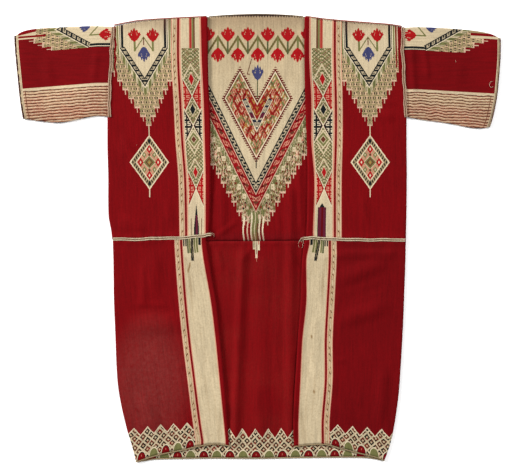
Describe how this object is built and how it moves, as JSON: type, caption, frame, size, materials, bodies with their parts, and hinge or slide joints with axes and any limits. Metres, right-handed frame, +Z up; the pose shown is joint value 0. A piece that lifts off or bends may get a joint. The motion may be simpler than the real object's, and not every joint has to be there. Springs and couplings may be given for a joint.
{
  "type": "aba jacket",
  "caption": "Short-sleeved open-fronted woven jacket laid flat: straight body of loom widths seamed at the waist, tube sleeves, corded seams and edges.",
  "frame": {"origin": "under the middle of the whole outline, on the surface the jacket lies on", "axes": "+Z up from the surface, +Y from the hem towards the neck, +X towards the right-hand sleeve as it lies"},
  "size_m": [1, 0.9222, 0.0068],
  "materials": {
    "body_cloth": "fine tapestry weave in madder red with cream, green, black and blue, soft low sheen",
    "sleeve_cloth": "the same weave, with pink and cream stripes on the underarm half",
    "cream_cord": "two-ply twisted cord, couched double",
    "armhole_cord": "two-ply twisted cord, couched double",
    "dark_cord": "dark twisted thread with light flecks",
    "neck_thread": "dark and light overcast thread",
    "olive_cord": "two-ply twisted olive and tan cord"
  },
  "bodies": {
    "root": {"upper_width": "body_cloth", "lower_width": "body_cloth", "sleeve_left": "sleeve_cloth", "sleeve_right": "sleeve_cloth", "waist_cord_left": "cream_cord", "waist_cord_right": "cream_cord", "armhole_cord_left": "armhole_cord", "armhole_cord_right": "armhole_cord", "cuff_binding_left": "dark_cord", "cuff_binding_right": "dark_cord", "shoulder_cord_left": "dark_cord", "shoulder_cord_right": "dark_cord", "neck_cord": "neck_thread", "hem_cord": "olive_cord"}
  },
  "joints": []
}
